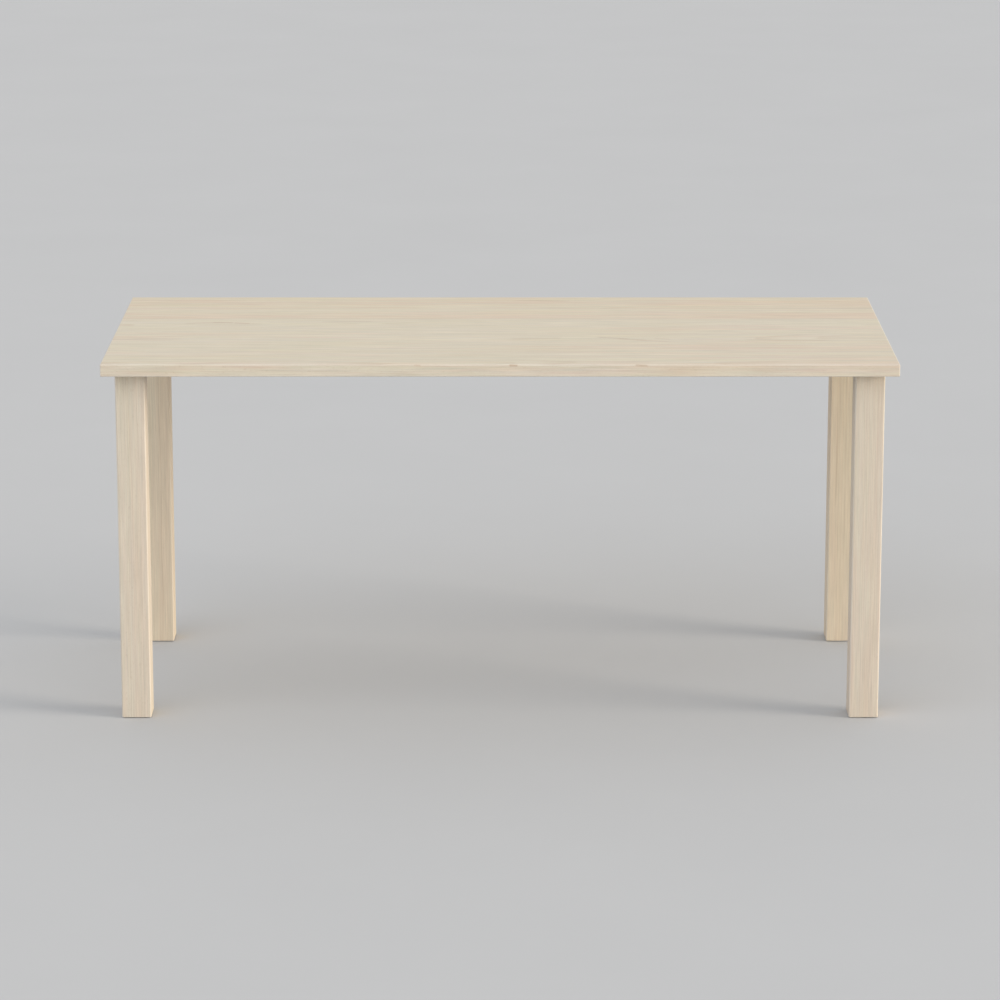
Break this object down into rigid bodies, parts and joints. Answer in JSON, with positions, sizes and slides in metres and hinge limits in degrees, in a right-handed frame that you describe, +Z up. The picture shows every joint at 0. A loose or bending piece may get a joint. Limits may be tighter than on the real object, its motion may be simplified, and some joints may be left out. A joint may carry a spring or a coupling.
{
  "type": "communion table",
  "caption": "Plain hardwood communion table: a thin rectangular edge-glued top on square corner legs, joined by steel plates under the top, with no apron.",
  "frame": {"origin": "on the floor, under the middle of the top", "axes": "+X along the table to the right, -Y is the front that faces the congregation, +Z up"},
  "size_m": [1.6, 0.7, 0.75],
  "materials": {
    "top_wood": "maple, clear satin lacquer",
    "leg_wood": "maple, clear satin lacquer",
    "coated_steel": "black powder coat, fine texture",
    "zinc_steel": "bright zinc plate",
    "insert_brass": "machined",
    "glide_nylon": "moulded nylon, matt"
  },
  "bodies": {
    "root": {"top_board_1": "top_wood", "top_board_2": "top_wood", "top_board_3": "top_wood", "top_board_4": "top_wood", "top_board_5": "top_wood", "leg_front_left": "leg_wood", "leg_front_right": "leg_wood", "leg_back_left": "leg_wood", "leg_back_right": "leg_wood", "leg_plate_front_left": "coated_steel", "leg_plate_front_right": "coated_steel", "leg_plate_back_left": "coated_steel", "leg_plate_back_right": "coated_steel", "leg_bolts_front_left": "zinc_steel", "leg_bolts_front_right": "zinc_steel", "leg_bolts_back_left": "zinc_steel", "leg_bolts_back_right": "zinc_steel", "leg_inserts_front_left": "insert_brass", "leg_inserts_front_right": "insert_brass", "leg_inserts_back_left": "insert_brass", "leg_inserts_back_right": "insert_brass", "plate_screws_front_left": "zinc_steel", "plate_screws_front_right": "zinc_steel", "plate_screws_back_left": "zinc_steel", "plate_screws_back_right": "zinc_steel", "stiffener_left": "coated_steel", "stiffener_middle": "coated_steel", "stiffener_right": "coated_steel", "stiffener_screws_left": "zinc_steel", "stiffener_screws_middle": "zinc_steel", "stiffener_screws_right": "zinc_steel", "glide_front_left": "glide_nylon", "glide_front_right": "glide_nylon", "glide_back_left": "glide_nylon", "glide_back_right": "glide_nylon", "glide_screw_front_left": "zinc_steel", "glide_screw_front_right": "zinc_steel", "glide_screw_back_left": "zinc_steel", "glide_screw_back_right": "zinc_steel"}
  },
  "joints": []
}
